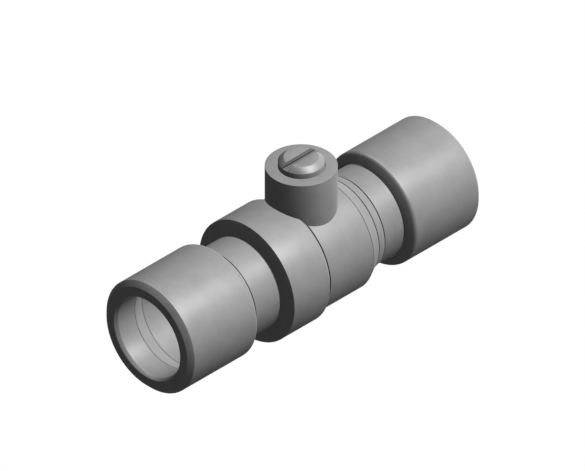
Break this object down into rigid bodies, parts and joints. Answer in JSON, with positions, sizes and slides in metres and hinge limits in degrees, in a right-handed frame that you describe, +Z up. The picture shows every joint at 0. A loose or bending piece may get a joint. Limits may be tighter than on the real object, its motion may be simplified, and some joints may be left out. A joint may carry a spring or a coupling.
{
  "type": "isolating valve",
  "caption": "Straight inline quarter-turn ball valve for small water pipe, with round compression nuts, a flanged body and a slotted spindle in a round boss.",
  "frame": {"origin": "centre of the inlet's pipe stop, on the pipe axis, where the end of the inlet pipe lands", "axes": "+X along the pipe axis from the inlet to the outlet, +Z up the spindle"},
  "size_m": [0.0703, 0.023, 0.0309],
  "materials": {
    "plated_body": "satin nickel plate",
    "plated_nut": "satin nickel plate",
    "spindle_metal": "satin nickel plate",
    "polished_ball": "polished",
    "olive_metal": "turned",
    "seat_plastic": "smooth matt",
    "seal_rubber": "matt"
  },
  "bodies": {
    "root": {"valve_body": "plated_body", "end_insert": "plated_body", "inlet_seat": "seat_plastic", "outlet_seat": "seat_plastic", "spindle_washer": "seat_plastic"},
    "spindle_and_ball": {"spindle": "spindle_metal", "ball": "polished_ball", "spindle_seal_lower": "seal_rubber", "spindle_seal_upper": "seal_rubber"},
    "inlet_olive_ring": {"inlet_olive": "olive_metal"},
    "inlet_nut_body": {"inlet_nut": "plated_nut"},
    "outlet_olive_ring": {"outlet_olive": "olive_metal"},
    "outlet_nut_body": {"outlet_nut": "plated_nut"}
  },
  "joints": [
    {"name": "spindle_turn", "type": "hinge", "parent": "root", "child": "spindle_and_ball", "pos_m": [0.012, 0, 0], "axis": [0, 0, 1], "continuous": true},
    {"name": "inlet_nut_advance", "type": "slide", "parent": "root", "child": "inlet_olive_ring", "axis": [-1, 0, 0], "range_m": [0, 0.00202]},
    {"name": "inlet_nut_turn", "type": "hinge", "parent": "inlet_olive_ring", "child": "inlet_nut_body", "pos_m": [0, 0, 0], "axis": [-1, 0, 0], "range_deg": [0, 540]},
    {"name": "outlet_nut_advance", "type": "slide", "parent": "root", "child": "outlet_olive_ring", "axis": [1, 0, 0], "range_m": [0, 0.00202]},
    {"name": "outlet_nut_turn", "type": "hinge", "parent": "outlet_olive_ring", "child": "outlet_nut_body", "pos_m": [0, 0, 0], "axis": [1, 0, 0], "range_deg": [0, 540]}
  ],
  "couplings": [
    {"joint": "inlet_nut_advance", "follows": "inlet_nut_turn", "m_per_rad": 0.00021279},
    {"joint": "outlet_nut_advance", "follows": "outlet_nut_turn", "m_per_rad": 0.00021279}
  ]
}
